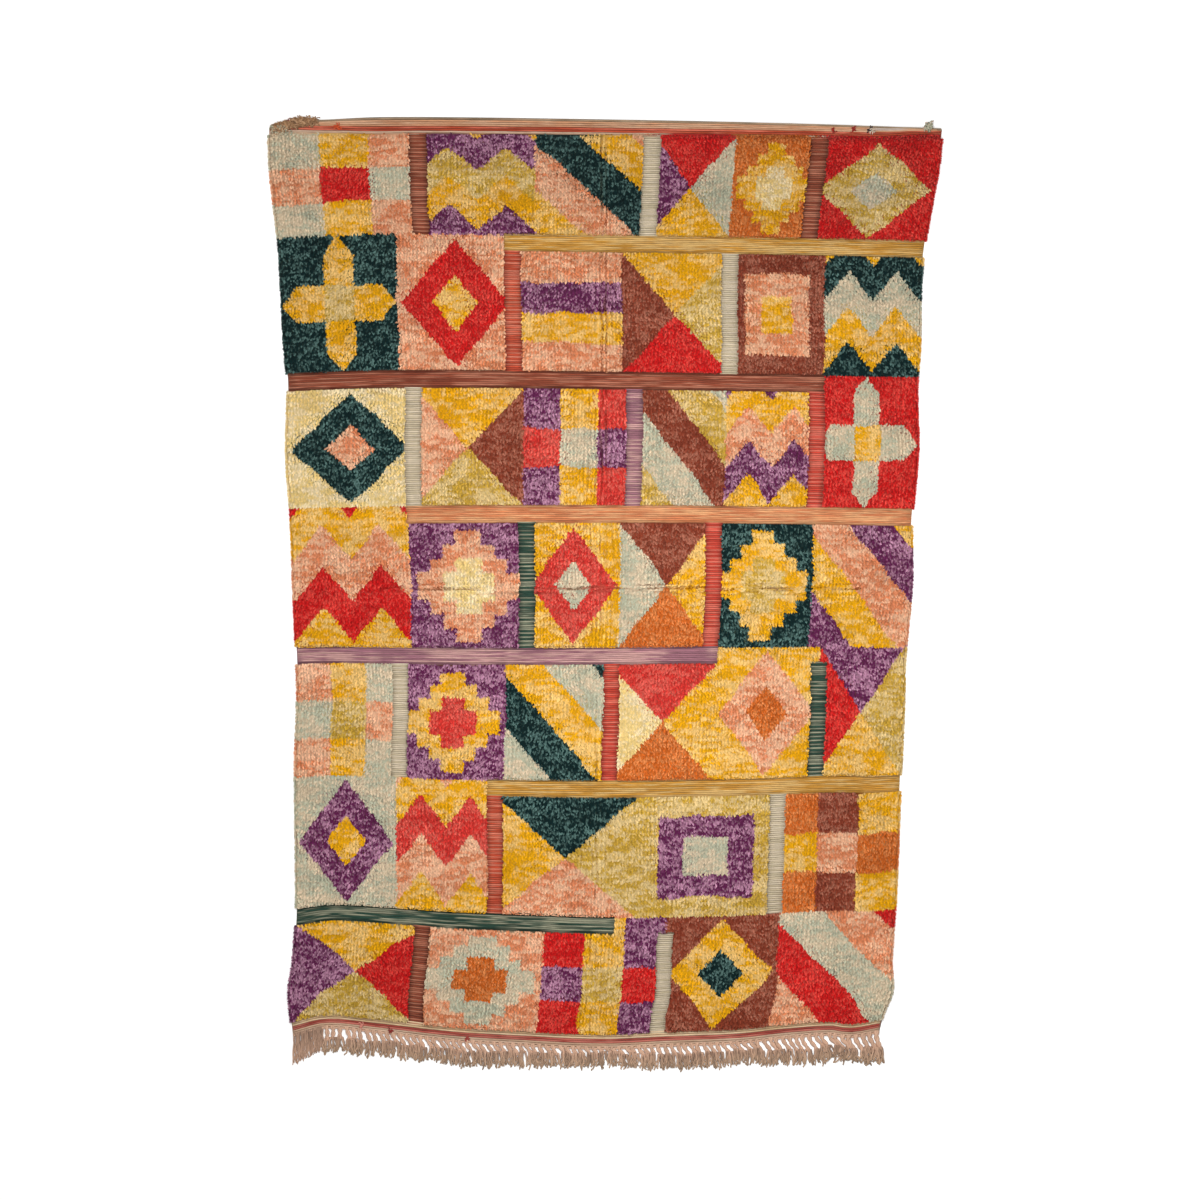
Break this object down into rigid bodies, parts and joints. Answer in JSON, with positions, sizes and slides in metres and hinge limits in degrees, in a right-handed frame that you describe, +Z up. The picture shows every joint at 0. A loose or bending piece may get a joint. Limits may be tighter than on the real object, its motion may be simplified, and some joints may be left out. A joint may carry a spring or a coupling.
{
  "type": "beni ourain rug",
  "caption": "Flat hand-knotted wool rug with cut pile, sunk flatwoven bars between its compartments, a rolled hem at one end and a plied fringe at the other.",
  "frame": {"origin": "on the floor, in the middle of the rug's whole length and width", "axes": "+Z up out of the pile, +Y along the rug towards its hemmed end, +X to the right as the hemmed end points away"},
  "size_m": [2.1295, 3.0213, 0.0197],
  "materials": {
    "wool_pile": "cut wool pile and flatweave in many yarn colours, dull",
    "fringe_yarn": "plied undyed warp yarn, dull",
    "corner_yarn": "knotted undyed warp yarn, dull"
  },
  "bodies": {
    "root": {"rug_cloth": "wool_pile", "fringe": "fringe_yarn", "corner_tuft_left": "corner_yarn", "corner_tuft_right": "corner_yarn"}
  },
  "joints": []
}
